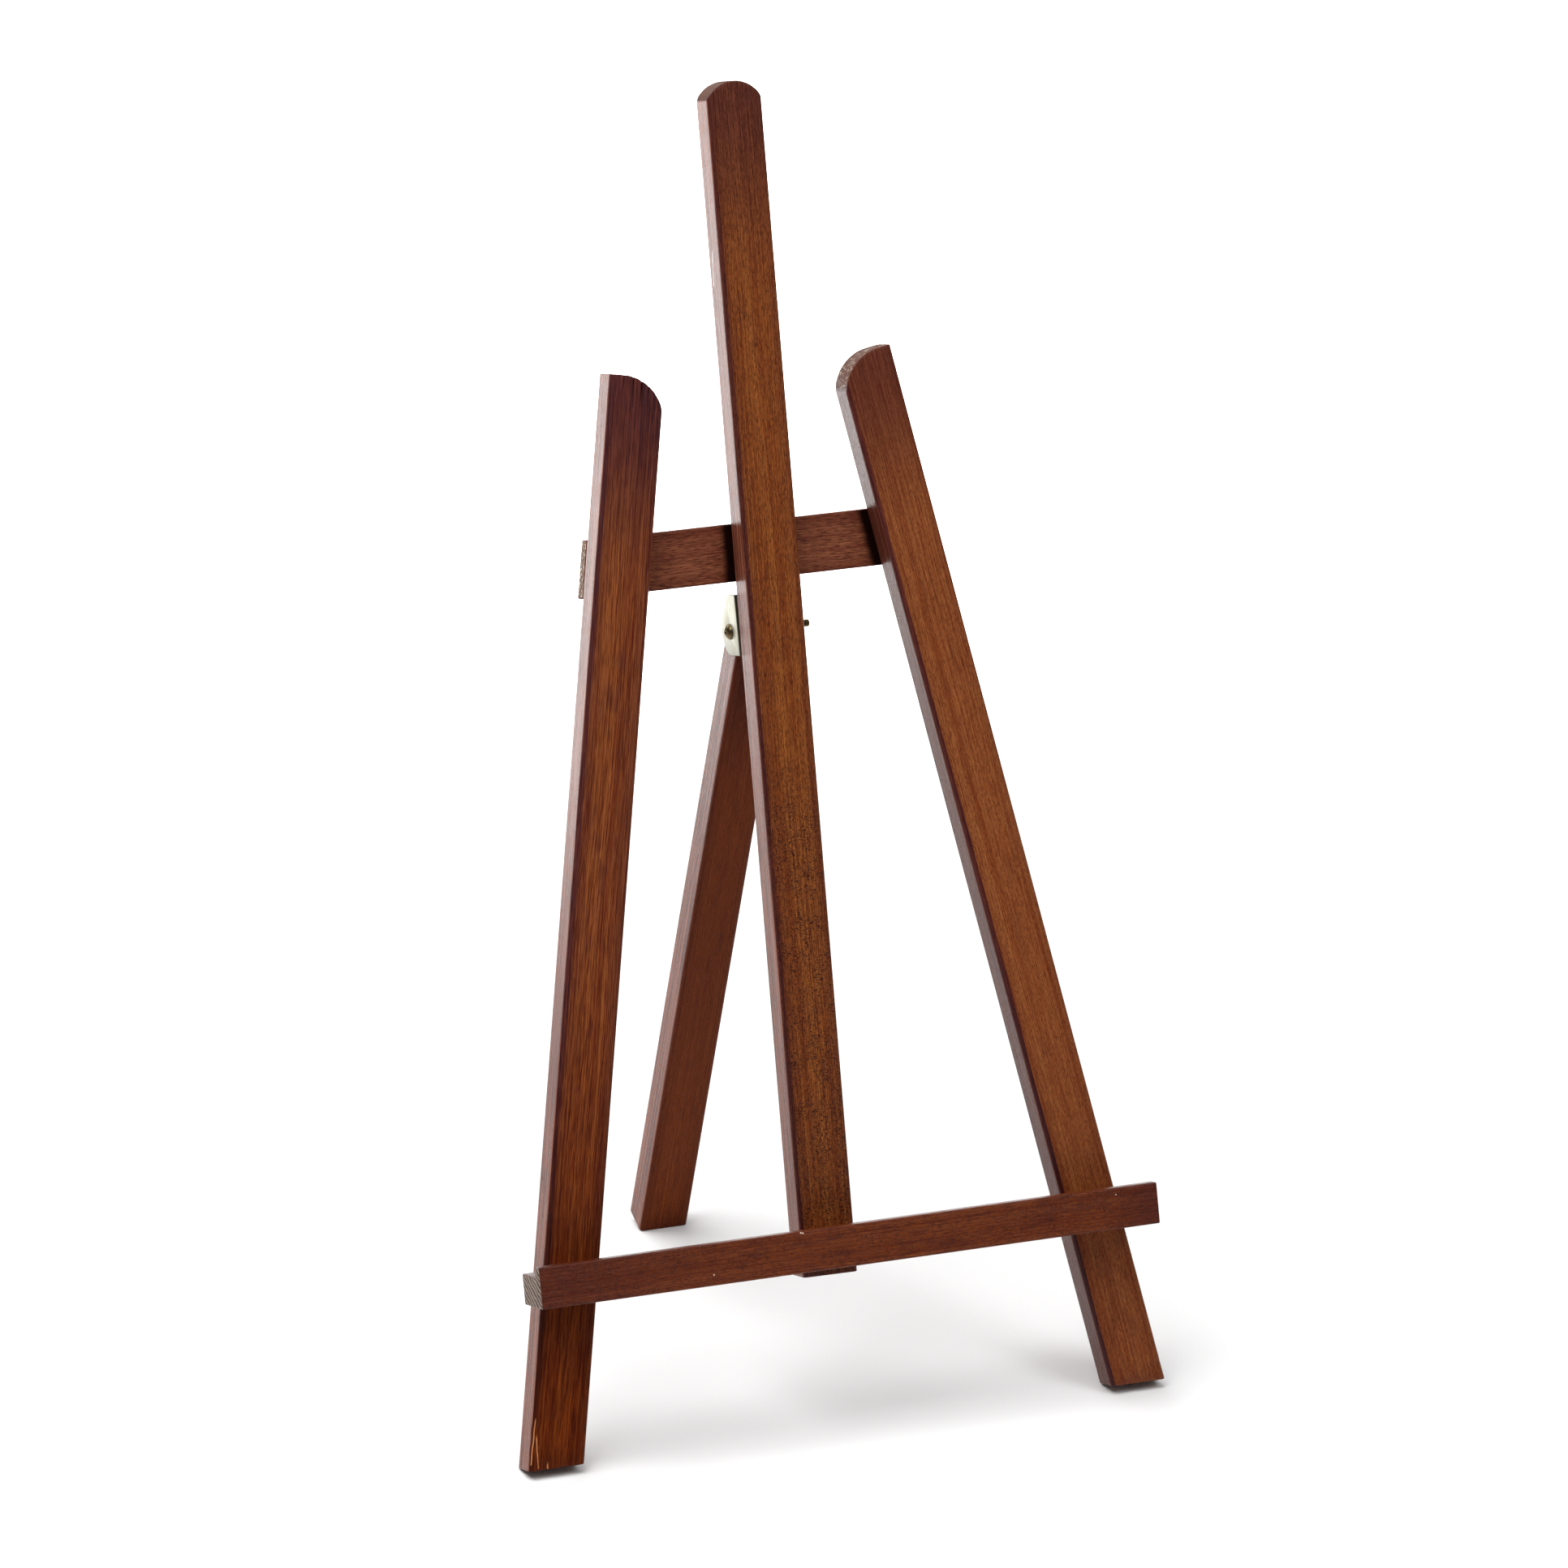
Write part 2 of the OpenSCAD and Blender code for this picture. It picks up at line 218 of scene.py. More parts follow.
def split_room(u, low, high, width, deep, matrix):
    """Cutter for a drying split in a front face: widest at high, closing to a hair at low."""
    vertices = []
    for d in (-1.0, deep):
        vertices += [(u - width / 2, d, high), (u + width / 2, d, high), (u + 0.03, d, low)]
    faces = [(0, 2, 1), (3, 4, 5), (0, 1, 4, 3), (1, 2, 5, 4), (2, 0, 3, 5)]
    return make_object("room", placed(np.array(vertices, float), matrix), faces)


def driven(x, depth, s):
    """Matrix of a screw driven forwards into the frame from a depth behind its plane."""
    return PLANE @ Matrix.Translation((x, depth, s)) @ Matrix.Rotation(math.pi / 2, 4, "X")


# ---------- slats ----------

# A slat's faces: steps of half a corner's arc, its flat faces' columns across and rows through,
# the flat left beside each arc, and the steps of an end's eased edge
ARC_STEPS = 3
COLUMNS = 12
ROWS = 8
GUARD = 0.35
EASE_STEPS = 4
# Spacing of the loops along a slat: fine over the first run from each end, coarse between
FINE_STEP = 1.2
FINE_RUN = 24.0
COARSE_STEP = 4.0


def ring_sides(width, depth, radius):
    """Front and left side of a rounded rectangle as (u, d) points. Each starts and ends at the
    middle of a corner's arc; the back and the right side mirror them."""
    half = [math.radians(45 + 45 * k / ARC_STEPS) for k in range(ARC_STEPS + 1)]
    arc = [(radius - radius * math.cos(a), radius - radius * math.sin(a)) for a in half]
    inner = np.linspace(GUARD, width - 2 * radius - GUARD, COLUMNS - 1)
    front = arc + [(radius + x, 0) for x in inner] + [(width - u, d) for u, d in reversed(arc)]
    inner = np.linspace(GUARD, depth - 2 * radius - GUARD, ROWS - 1)
    side = [(d, u) for u, d in arc] + [(0, radius + x) for x in inner]
    side += [(d, depth - u) for u, d in reversed(arc)]
    return np.array(front) - (width / 2, 0), np.array(side) - (width / 2, 0)


def ring(width, depth, radius, inset):
    """Closed loop of (u, d) round a slat's section, front face on d = 0."""
    front, side = ring_sides(width, depth, radius)
    mid = depth / 2
    right = side * (-1, 1)
    back = front * (1, -1) + (0, depth)
    loop = np.concatenate([front, right[1:], back[::-1][1:], side[::-1][1:-1]])
    u = loop[:, 0] * (width / 2 - inset) / (width / 2)
    d = mid + (loop[:, 1] - mid) * (mid - inset) / mid
    return np.column_stack([u, d])


def stations(length):
    """Places from 0 to 1 along a slat, closer together near its ends."""
    ends = np.arange(0, FINE_RUN, FINE_STEP)
    middle = np.linspace(FINE_RUN, length - FINE_RUN, int((length - 2 * FINE_RUN) / COARSE_STEP))
    return np.concatenate([ends, middle, (length - ends)[::-1]]) / length


def eased_end(section, height, inward):
    """One end of a slat as loops of points, from its cap to its straight sides. section gives
    the (u, d) loop at an inset, height is the end's v over (u, d), and inward is 1 at the lower
    end and -1 at the upper one."""
    layers = []
    for k in range(EASE_STEPS + 1):
        turn = math.radians(90 * k / EASE_STEPS)
        loop = section(END_EASE * (1 - math.sin(turn)))
        rise = inward * END_EASE * (1 - math.cos(turn))
        layers.append(np.column_stack([loop, height(loop[:, 0], loop[:, 1]) + rise]))
    return layers


def drawn_out(section, bottom, top, length):
    """Loops of points that carry a section from one eased end to the other."""
    low_end = eased_end(section, bottom, 1)
    high_end = eased_end(section, top, -1)[::-1]
    low, high = low_end[-1], high_end[0]
    middle = [low + (high - low) * t for t in stations(length)[1:-1]]
    return low_end + middle + high_end


def skin(layers):
    """Faces between each loop of points and the next."""
    count = len(layers[0])
    faces = []
    for j in range(len(layers) - 1):
        a = j * count
        b = a + count
        for i in range(count):
            n = (i + 1) % count
            faces.append((a + i, a + n, b + n, b + i))
    return faces


def mark_ends(obj, first):
    """Gives the faces from first on, which close the ends, the second material."""
    index = np.zeros(len(obj.data.polygons), np.int32)
    index[first:] = 1
    obj.data.polygons.foreach_set("material_index", index)


def slat(name, width, depth, radius, outline, matrix, materials, wear):
    """A slat with eased long edges and ends. outline holds the heights of its lower and upper
    end over (u, d). wear moves the local points, for waviness and knocks."""
    bottom, top = outline

    def section(inset):
        return ring(width, depth, radius, inset)

    u, d = section(0.0).T
    length = float(np.max(top(u, d)) - np.min(bottom(u, d)))
    layers = drawn_out(section, bottom, top, length)
    sides = skin(layers)
    points, caps = close_ends(layers, outline)
    obj = make_object(name, placed(wear(points), matrix), sides + caps, materials)
    mark_ends(obj, len(sides))
    return obj


def close_ends(layers, outline):
    """All points and the end faces: each end is a grid that follows the end's own shape."""
    points = np.concatenate(layers)
    across = COLUMNS + 2 * ARC_STEPS
    through = ROWS + 2 * ARC_STEPS
    count = len(layers[0])
    faces = []
    for end, height in enumerate(outline):
        loop = layers[-1] if end else layers[0]
        first = (len(layers) - 1) * count if end else 0
        grid = np.zeros((across + 1, through + 1), int)
        grid[:, 0] = first + np.arange(across + 1)
        grid[-1, :] = first + across + np.arange(through + 1)
        grid[:, -1] = first + (2 * across + through - np.arange(across + 1)) % count
        grid[0, :] = first + (count - np.arange(through + 1)) % count
        extra = []
        for i in range(1, across):
            for j in range(1, through):
                grid[i, j] = len(points) + len(extra)
                extra.append((loop[i, 0], loop[(count - j) % count, 1], 0))
        extra = np.array(extra)
        extra[:, 2] = height(extra[:, 0], extra[:, 1])
        points = np.concatenate([points, extra])
        for i in range(across):
            for j in range(through):
                quad = (grid[i, j], grid[i + 1, j], grid[i + 1, j + 1], grid[i, j + 1])
                quad = tuple(int(q) for q in quad)
                faces.append(quad if end else quad[::-1])
    return points, faces


def soft_noise(x, y, z):
    """Smooth noise from 0 to 1, the same on every run."""
    return 0.5 + 0.5 * noise.noise(Vector((x, y, z)))


def hand_worked(seed, width, depth, outline, amount, rough, knocks):
    """Moves a slat's local points inwards only: sanded unevenness in waves of 20 to 60 mm,
    saw-rough ends, and knocks given as (u, v, radius, deep) on the front face."""
    bottom, top = outline
    mid = depth / 2

    def wear(points):
        moved = points.copy()
        low = bottom(points[:, 0], points[:, 1])
        high = top(points[:, 0], points[:, 1])
        for k, (u, d, v) in enumerate(points):
            swell_u = soft_noise(seed, u / 30, v / 60)
            swell_d = soft_noise(seed + 9, d / 20 + u / 40, v / 45)
            moved[k, 0] = u * (1 - amount * swell_u / (width / 2))
            moved[k, 1] = mid + (d - mid) * (1 - amount * swell_d / mid)
            nearest = min(v - low[k], high[k] - v)
            if nearest < END_EASE:
                bite = rough * soft_noise(u * 0.9, d * 0.9, seed)
                inward = 1 if v - low[k] < high[k] - v else -1
                moved[k, 2] += inward * bite * (1 - nearest / END_EASE)
            for at_u, at_v, radius, deep in knocks:
                away = math.hypot(u - at_u, v - at_v) / radius
                if away < 1 and d < mid:
                    moved[k, 1] += deep * (1 - away ** 2) * (1 - d / mid)
        return moved
    return wear


# ---------- node graphs ----------


class Graph:
    """A short way to write a material's nodes."""

    def __init__(self, name):
        self.material = bpy.data.materials.new(name)
        self.material.use_nodes = True
        self.tree = self.material.node_tree
        self.tree.nodes.clear()

    def node(self, kind, inputs=None, **settings):
        made = self.tree.nodes.new(kind)
        for key, value in settings.items():
            setattr(made, key, value)
        for key, value in (inputs or {}).items():
            if isinstance(value, bpy.types.NodeSocket):
                self.tree.links.new(value, made.inputs[key])
            else:
                made.inputs[key].default_value = value
        return made

    def math(self, operation, a, b=0.0, c=0.0, clamp=False):
        made = self.node("ShaderNodeMath", {0: a, 1: b, 2: c}, operation=operation)
        made.use_clamp = clamp
        return made.outputs[0]

    def stretch(self, vector, factors, offset=(0, 0, 0)):
        made = self.node("ShaderNodeVectorMath", {0: vector, 1: factors, 2: offset},
                         operation="MULTIPLY_ADD")
        return made.outputs[0]

    def noise(self, vector, detail=2.0, roughness=0.5, distortion=0.0):
        made = self.node("ShaderNodeTexNoise",
                         {"Vector": vector, "Scale": 1.0, "Detail": detail,
                          "Roughness": roughness, "Distortion": distortion})
        return made.outputs["Fac"]

    def step(self, value, low, high, to_low=0.0, to_high=1.0):
        made = self.node("ShaderNodeMapRange",
                         {"Value": value, "From Min": low, "From Max": high,
                          "To Min": to_low, "To Max": to_high},
                         interpolation_type="SMOOTHSTEP")
        return made.outputs["Result"]

    def mix(self, factor, a, b, blend="MIX"):
        made = self.node("ShaderNodeMix", data_type="RGBA", blend_type=blend)
        for key, value in (("Factor_Float", factor), ("A_Color", a), ("B_Color", b)):
            socket = next(s for s in made.inputs if s.identifier == key)
            if isinstance(value, bpy.types.NodeSocket):
                self.tree.links.new(value, socket)
            else:
                socket.default_value = value
        return next(s for s in made.outputs if s.identifier == "Result_Color")

    def local(self, matrix):
        """Slat-local millimetres of the shaded point."""
        place, turn, size = matrix.decompose()
        made = self.node("ShaderNodeMapping", vector_type="TEXTURE")
        source = self.node("ShaderNodeTexCoord")
        self.tree.links.new(source.outputs["Object"], made.inputs["Vector"])
        made.inputs["Location"].default_value = place
        made.inputs["Rotation"].default_value = turn.to_euler()
        made.inputs["Scale"].default_value = size
        return made.outputs["Vector"]

    def split(self, vector):
        made = self.node("ShaderNodeSeparateXYZ", {"Vector": vector})
        return made.outputs["X"], made.outputs["Y"], made.outputs["Z"]

    def join(self, x, y, z):
        return self.node("ShaderNodeCombineXYZ", {"X": x, "Y": y, "Z": z}).outputs[0]

    def finish(self, height=None, bump=0.0, distance=0.0, **settings):
        """Ends the graph with one shader. settings are its sockets' values, and height is its
        bump map."""
        shader = self.node("ShaderNodeBsdfPrincipled")
        for key, value in settings.items():
            socket = shader.inputs[key.replace("_", " ")]
            if isinstance(value, bpy.types.NodeSocket):
                self.tree.links.new(value, socket)
            else:
                socket.default_value = value
        if height is not None:
            made = self.node("ShaderNodeBump",
                             {"Height": height, "Strength": bump, "Distance": distance})
            self.tree.links.new(made.outputs["Normal"], shader.inputs["Normal"])
        out = self.node("ShaderNodeOutputMaterial")
        self.tree.links.new(shader.outputs[0], out.inputs["Surface"])
        return self.material


def srgb(red, green, blue):
    """Linear colour of an 8-bit sRGB one."""
    def linear(value):
        c = value / 255
        return c / 12.92 if c <= 0.04045 else ((c + 0.055) / 1.055) ** 2.4
    return (linear(red), linear(green), linear(blue), 1.0)


# ---------- wood ----------

# How far the grain sways across a slat, and growth rings ripple, in millimetres
SWAY = 4.0
RING_RIPPLE = 2.2


def grain(g, local, seed):
    """Slat-local millimetres bent a little, as real grain runs, and a shift that makes each
    piece's noise its own."""
    shift = (seed * 7.31, seed * 3.17, seed * 11.9)
    slow = g.noise(g.stretch(local, (0.02, 0.02, 0.008), shift), detail=1.0)
    sway = g.math("MULTIPLY", g.math("SUBTRACT", slow, 0.5), SWAY)
    u, d, v = g.split(local)
    return g.join(g.math("ADD", u, sway), d, v), shift


def figure(g, bent, shift, across, along, low, high, detail=2.0):
    """Noise with so many waves a millimetre across and along the grain, and with its contrast
    raised so that it runs from 0 at low to 1 at high."""
    drawn = g.stretch(bent, (across, across, along), shift)
    return g.step(g.noise(drawn, detail=detail, roughness=0.55), low, high)


def rings(g, bent, seed, pith, spacing):
    """Growth rings round a pith line that runs along the grain."""
    u, d = g.split(bent)[:2]
    du = g.math("SUBTRACT", u, pith[0])
    dd = g.math("SUBTRACT", d, pith[1])
    radius = g.math("SQRT", g.math("ADD", g.math("MULTIPLY", du, du), g.math("MULTIPLY", dd, dd)))
    ripple = g.noise(g.stretch(bent, (0.25, 0.25, 0.01), (seed, seed, seed)), detail=2.0)
    turned = g.math("MULTIPLY_ADD", ripple, RING_RIPPLE, radius)
    wave = g.math("SINE", g.math("MULTIPLY", turned, 2 * math.pi / spacing))
    return g.math("MULTIPLY_ADD", wave, 0.5, 0.5)


# Each wood's stain colours (sRGB) and the strengths of its figures:
#   ground, light, dark, edge: plain wood, its bright lines, its pores, and its darkest stain, which
# #   also colours the painted shade
#   sawn: end grain; side: darker and paler stripes of the sides, where they aren't PALE_SIDES;
# #   the sides' colours are a paler stain lightened further as a painted sheen
#   lines: bright lines along the grain; pores: (strength, waves a mm across, along)
#   left_edge_shade: painted shade along the left eased edge; banks: fading in from both edges;
# #   clouds: in patches
#   head, foot: (run, strength) of dark stain at the two ends, head being the end at high v;
# #   on the rear leg the head's dark is painted shade near the hinge
#   curl, curled: the heights v that cross-grain figure lies between, and its strength
#   warmed: (run, tint) of a warmer tint that grows towards the foot
WOODS = {
    "mast": dict(
        ground=(103, 45, 19), light=(150, 88, 36), dark=(44, 12, 4), edge=(36, 14, 22),
        sawn=(112, 70, 52), lines=0.46, pores=(0.72, 5.6, 0.62), left_edge_shade=0.9, clouds=0.22,
        head=(95, 0.78), foot=(14, 0.6), curl=(-250, -55), curled=1.0),
    "left_leg": dict(
        ground=(86, 31, 19), light=(136, 76, 38), dark=(46, 12, 8), edge=(38, 24, 34),
        sawn=(120, 86, 66), lines=0.74, pores=(0.6, 4.4, 0.09), left_edge_shade=0.9, banks=0.38,
        head=(95, 0.92), foot=(14, 0.4), warmed=(230, (0.7, 0.48, 0.2))),
    "right_leg": dict(
        ground=(109, 49, 21), light=(156, 96, 50), dark=(64, 18, 5), edge=(36, 11, 20),
        sawn=(108, 70, 50), side=((72, 32, 24), (104, 58, 44)), lines=0.38,
        pores=(0.62, 5.4, 0.7), left_edge_shade=1.0, banks=0.15, clouds=0.2, head=(80, 0.72),
        foot=(10, 0.3)),
    "crossbar": dict(
        ground=(98, 46, 34), light=(139, 85, 57), dark=(46, 10, 5), edge=(62, 24, 15),
        sawn=(136, 100, 70), lines=0.5, pores=(0.8, 5.2, 0.3), left_edge_shade=0.2, head=(16, 0.6),
        foot=(16, 0.6)),
    "ledge": dict(
        ground=(87, 32, 11), light=(128, 66, 27), dark=(44, 10, 4), edge=(56, 18, 12),
        sawn=(142, 122, 106), lines=0.45, pores=(0.62, 5.0, 0.4), clouds=0.6,
        head=(26, 0.75), foot=(90, 0.65), curl=(-200, 200), curled=0.6),
    "rear_leg": dict(
        ground=(90, 34, 6), light=(124, 60, 17), dark=(58, 15, 4), edge=(58, 18, 4),
        sawn=(120, 84, 60), lines=0.5, pores=(0.42, 5.6, 0.8), left_edge_shade=0.6, clouds=0.35,
        # head: painted shade over the rear leg's top, where it hangs in the frame's shadow near the hinge
        head=(110, 0.9), foot=(16, 0.5)),
}
# What a wood has that names none of its own
BANKS = 0.3
CLOUDS = 0.3
# The sides' colours are a paler stain, lightened further as a painted sheen of their grazing gloss
PALE_SIDES = ((74, 32, 22), (144, 86, 66))
# Colours (sRGB) of bright lines under the darkest stain, and of single marks
SHADED_LINES = (136, 62, 42)
# Painted shade on the crossbar beside the mast and the right leg, where their shadows fall
JOINT_SHADE = (16, 2, 2)
BARE_WOOD = (178, 112, 70)
# Worn lacquer on the mast's side, painted near-white as a glint
WORN_LACQUER_GLINT = (246, 242, 238)
TORN_WOOD = (222, 206, 190)
FLECK = (214, 196, 176)

# Figures of long grain: (waves a mm across the grain, along it, noise made 0, noise made 1)
LINES = (2.8, 0.006, 0.39, 0.61)
HAIRS = (4.2, 0.14, 0.4, 0.6)
BROAD = (0.22, 0.004, 0.3, 0.7)
PATCHES = (0.3, 0.07, 0.46, 0.72)
STRIPES = (1.9, 0.012, 0.36, 0.64)
PORE_LEVELS = (0.49, 0.6)
# Waves a mm along u, d and v of the curl's patches and of its dashes
CURL_PATCHES = (0.22, 0.22, 0.09)
CURL_DASHES = (1.15, 1.15, 2.4)

# Where the look of the sides starts and is full, and that of the banks, in millimetres past a
# long edge, inside it being negative
SIDE_EDGE = (-0.3, -0.08)
BANK_EDGE = (-7.0, -1.0)
# Where the painted shade on the left edge ends and is full, in millimetres from that edge, and
# # how far it wanders
LEFT_SHADE_EDGE = (3.0, 2.2)
LEFT_SHADE_DRIFT = 1.6
# How much the sides' stripes stand out
STRIPE_RELIEF = 0.7

# Specular levels: broad faces, the duller ones of the left leg, crossbar and rear leg, sides,
# the right leg's sides, and end grain
FRONT_SHINE = 0.16
DULL_SHINE = 0.06
SIDE_SHINE = 0.09
RIGHT_SIDE_SHINE = 0.08
SAWN_SHINE = 0.2

# Strength and depth in metres of long grain's bump, and how deep pores and curl are in it
GRAIN_BUMP = dict(bump=0.35, distance=0.00008)
PORE_DEPTH = 0.8
# The share of hairs among the lines, how far broad bands weaken and strengthen them, their gain
# over each wood's own strength, and how much they show through the darkest stain
HAIR_SHARE = 0.45
BAND_LOW = 0.7
BAND_RISE = 0.6
LINE_GAIN = 1.6
SHADED_SHARE = 0.3
# Roughness of the lacquer, how much more bright lines have, and how much less sides have
ROUGHNESS = 0.2
ROUGHER_LINES = 0.14
SMOOTHER_SIDES = 0.15


def stained(g, v, bent, shift, look, shade):
    """Colour, height and roughness of stained long grain. shade is how much of the darkest
    stain and of painted shade shows, from 0 to 1."""
    lines = figure(g, bent, shift, *LINES)
    hairs = figure(g, bent, shift, *HAIRS)
    broad = figure(g, bent, shift, *BROAD)
    strength, across, along = look["pores"]
    pores = figure(g, bent, shift, across, along, *PORE_LEVELS, detail=3.0)
    tone = g.math("MULTIPLY_ADD", hairs, HAIR_SHARE, g.math("MULTIPLY", lines, 1 - HAIR_SHARE))
    tone = g.math("MULTIPLY", tone, g.math("MULTIPLY_ADD", broad, BAND_RISE, BAND_LOW))
    body = g.mix(g.math("MULTIPLY", tone, look["lines"] * LINE_GAIN, clamp=True),
                 srgb(*look["ground"]), srgb(*look["light"]))
    clouds = figure(g, bent, shift, *PATCHES)
    shade = g.math("MAXIMUM", shade, g.math("MULTIPLY", clouds, look.get("clouds", CLOUDS)))
    body = g.mix(shade, body, srgb(*look["edge"]))
    shaded_lines = g.math("MULTIPLY", g.math("MULTIPLY", tone, shade), SHADED_SHARE)
    body = g.mix(shaded_lines, body, srgb(*SHADED_LINES))
    body = g.mix(g.math("MULTIPLY", pores, strength), body, srgb(*look["dark"]))
    height = g.math("MULTIPLY_ADD", pores, -PORE_DEPTH, tone)
    if "curl" in look:
        curls = curl(g, v, bent, shift, *look["curl"])
        body = g.mix(g.math("MULTIPLY", curls, look["curled"]), body, srgb(*look["dark"]))
        height = g.math("MULTIPLY_ADD", curls, -PORE_DEPTH, height)
    roughness = g.math("MULTIPLY_ADD", tone, ROUGHER_LINES, ROUGHNESS)
    return body, height, roughness


def curl(g, v, bent, shift, low, high):
    """Cross-grain figure between two heights: short dark wavy dashes, thicker in patches."""
    zone = g.math("MULTIPLY", g.step(v, low - 40, low + 30), g.step(v, high + 25, high - 25))
    patches = g.noise(g.stretch(bent, CURL_PATCHES, shift), detail=1.0)
    zone = g.math("MULTIPLY", zone, g.step(patches, 0.34, 0.6, 0.45, 1.0))
    ripples = g.noise(g.stretch(bent, CURL_DASHES, shift), detail=2.0, roughness=0.6,
                      distortion=0.6)
    return g.math("MULTIPLY", g.step(ripples, 0.49, 0.6), zone)


def wood(name, matrix, width, reach, seed, shine):
    """Stained and lacquered long grain: broad faces with darker edges and ends, painted shade along
    the left edge and, on the crossbar, beside the slats in front of it, and paler striped sides,
    partly a painted sheen. reach is the slat's (lowest, highest) v."""
    look = WOODS[name]
    g = Graph(name + "_stain")
    local = g.local(matrix)
    u, d, v = g.split(local)
    drift = g.noise(g.stretch(local, (0.12, 0.12, 0.02), (seed, 0, 0)), detail=2.0)
    past_edge = g.math("SUBTRACT", g.math("ABSOLUTE", u), width / 2)
    side = g.step(past_edge, *SIDE_EDGE)
    banks = g.step(past_edge, *BANK_EDGE, 0.0, look.get("banks", BANKS))
    # Painted shade along the left eased edge of each slat, which the light from the right leaves dark
    left = g.math("MULTIPLY_ADD", drift, LEFT_SHADE_DRIFT, g.math("ADD", u, width / 2))
    left_edge_shade = g.step(left, *LEFT_SHADE_EDGE, 0.0, look["left_edge_shade"])
    shade = g.math("MAXIMUM", g.math("MAXIMUM", left_edge_shade, banks), dark_ends(g, v, reach, look))
    bent, shift = grain(g, local, seed)
    body, height, roughness = stained(g, v, bent, shift, look, shade)
    if "warmed" in look:
        run, tint = look["warmed"]
        warmth = g.step(v, reach[0] + run, reach[0])
        body = g.mix(warmth, body, (*tint, 1.0), blend="MULTIPLY")
    if name == "left_leg":
        front = g.step(d, 1.4, 0.9)
        scratched = scratches(g, u, v, FOOT_SCRATCHES, drift, front)
        body = g.mix(scratched, body, srgb(*BARE_WOOD))
    if name == "crossbar":
        # Painted shade: the crossbar darkened against the left edges of the mast and the right leg
        body = g.mix(painted_joint_shade(g, u, d, v, drift), body, srgb(*JOINT_SHADE))
    stripes = figure(g, bent, shift, *STRIPES)
    # Sides: a paler stain, partly a painted sheen
    low, high = look.get("side", PALE_SIDES)
    height = g.math("MULTIPLY_ADD", g.math("MULTIPLY", stripes, side), STRIPE_RELIEF, height)
    body = g.mix(side, body, g.mix(stripes, srgb(*low), srgb(*high)))
    # Scratches on the mast's left side: worn lacquer, painted near-white as a glint
    if name == "mast":
        left_side = g.step(u, -10.6, -10.8)
        scratched = scratches(g, d, v, SIDE_SCRATCHES, drift, left_side)
        body = g.mix(scratched, body, srgb(*WORN_LACQUER_GLINT))
    roughness = g.math("SUBTRACT", roughness, g.math("MULTIPLY", side, SMOOTHER_SIDES))
    return g.finish(height, **GRAIN_BUMP, Base_Color=body, Roughness=roughness,
                    Specular_IOR_Level=shine)


def dark_ends(g, v, reach, look):
    """How much of the darkest stain shows at v, on a slat that spans reach. On the rear leg's
    head it is painted shade near the hinge.
    """
    run, strength = look["foot"]
    low = g.step(g.math("SUBTRACT", v, reach[0]), run, 0.0, 0.0, strength)
    run, strength = look["head"]
    high = g.step(g.math("SUBTRACT", reach[1], v), run, 0.0, 0.0, strength)
    return g.math("MAXIMUM", low, high)


# Scratches, each from (across, v) at its low end to (across, v) at its high end. Across is u on
# the left foot's front, and d on the mast's left side.
FOOT_SCRATCHES = ((-10.3, 1.0, -9.9, 19.0), (-7.4, 0.0, -9.2, 12.5), (-3.6, 0.0, -3.9, 2.6))
# The mast's side scratches are worn lacquer whose near-white is a painted glint
SIDE_SCRATCHES = ((9.5, 131.5, 9.0, 139.0), (9.0, 138.0, 8.6, 145.0))


def scratches(g, across, v, lines, drift, face):
    """How much of the scratches shows, on the face where face is 1."""
    bare = 0.0
    for low_at, low_v, high_at, high_v in lines:
        slope = (high_at - low_at) / (high_v - low_v)
        line = g.math("MULTIPLY_ADD", v, slope, low_at - low_v * slope)
        off = g.math("ABSOLUTE", g.math("SUBTRACT", across, line))
        width = g.math("MULTIPLY_ADD", g.step(drift, 0.4, 0.6), 0.2, 0.02)
        inside = g.step(g.math("SUBTRACT", off, width), 0.12, 0.0)
        span = g.math("MULTIPLY", g.step(v, low_v - 0.6, low_v), g.step(v, high_v, high_v - 2.0))
        bare = g.math("MAXIMUM", g.math("MULTIPLY", inside, span), bare)
    return g.math("MULTIPLY", bare, face)


# How far the painted shade beside a slat fades away from the slat's edge, and how far it goes
# under the slat
JOINT_SHADE_FADE = (-4.4, -1.0)
JOINT_SHADE_UNDER = (6.0, 4.0)


def painted_joint_shade(g, u, d, v, drift):
    """Painted shade on the crossbar's front, against the left edges of the mast and of the right
    leg, where their shadows fall. On the crossbar v runs along x."""
    dark = 0.0
    edges = ((mast_x(CROSSBAR_MID), math.radians(-MAST_TILT)), (leg_x(1, CROSSBAR_MID), SPLAY))
    for middle, tilt in edges:
        edge = g.math("MULTIPLY_ADD", u, math.tan(tilt), middle - SLAT_W / 2 / math.cos(tilt))
        past = g.math("MULTIPLY_ADD", drift, 1.5, g.math("SUBTRACT", v, edge))
        near = g.math("MULTIPLY", g.step(past, *JOINT_SHADE_FADE), g.step(past, *JOINT_SHADE_UNDER))
        dark = g.math("MAXIMUM", near, dark)
    return g.math("MULTIPLY", dark, g.step(d, 1.5, 0.5))


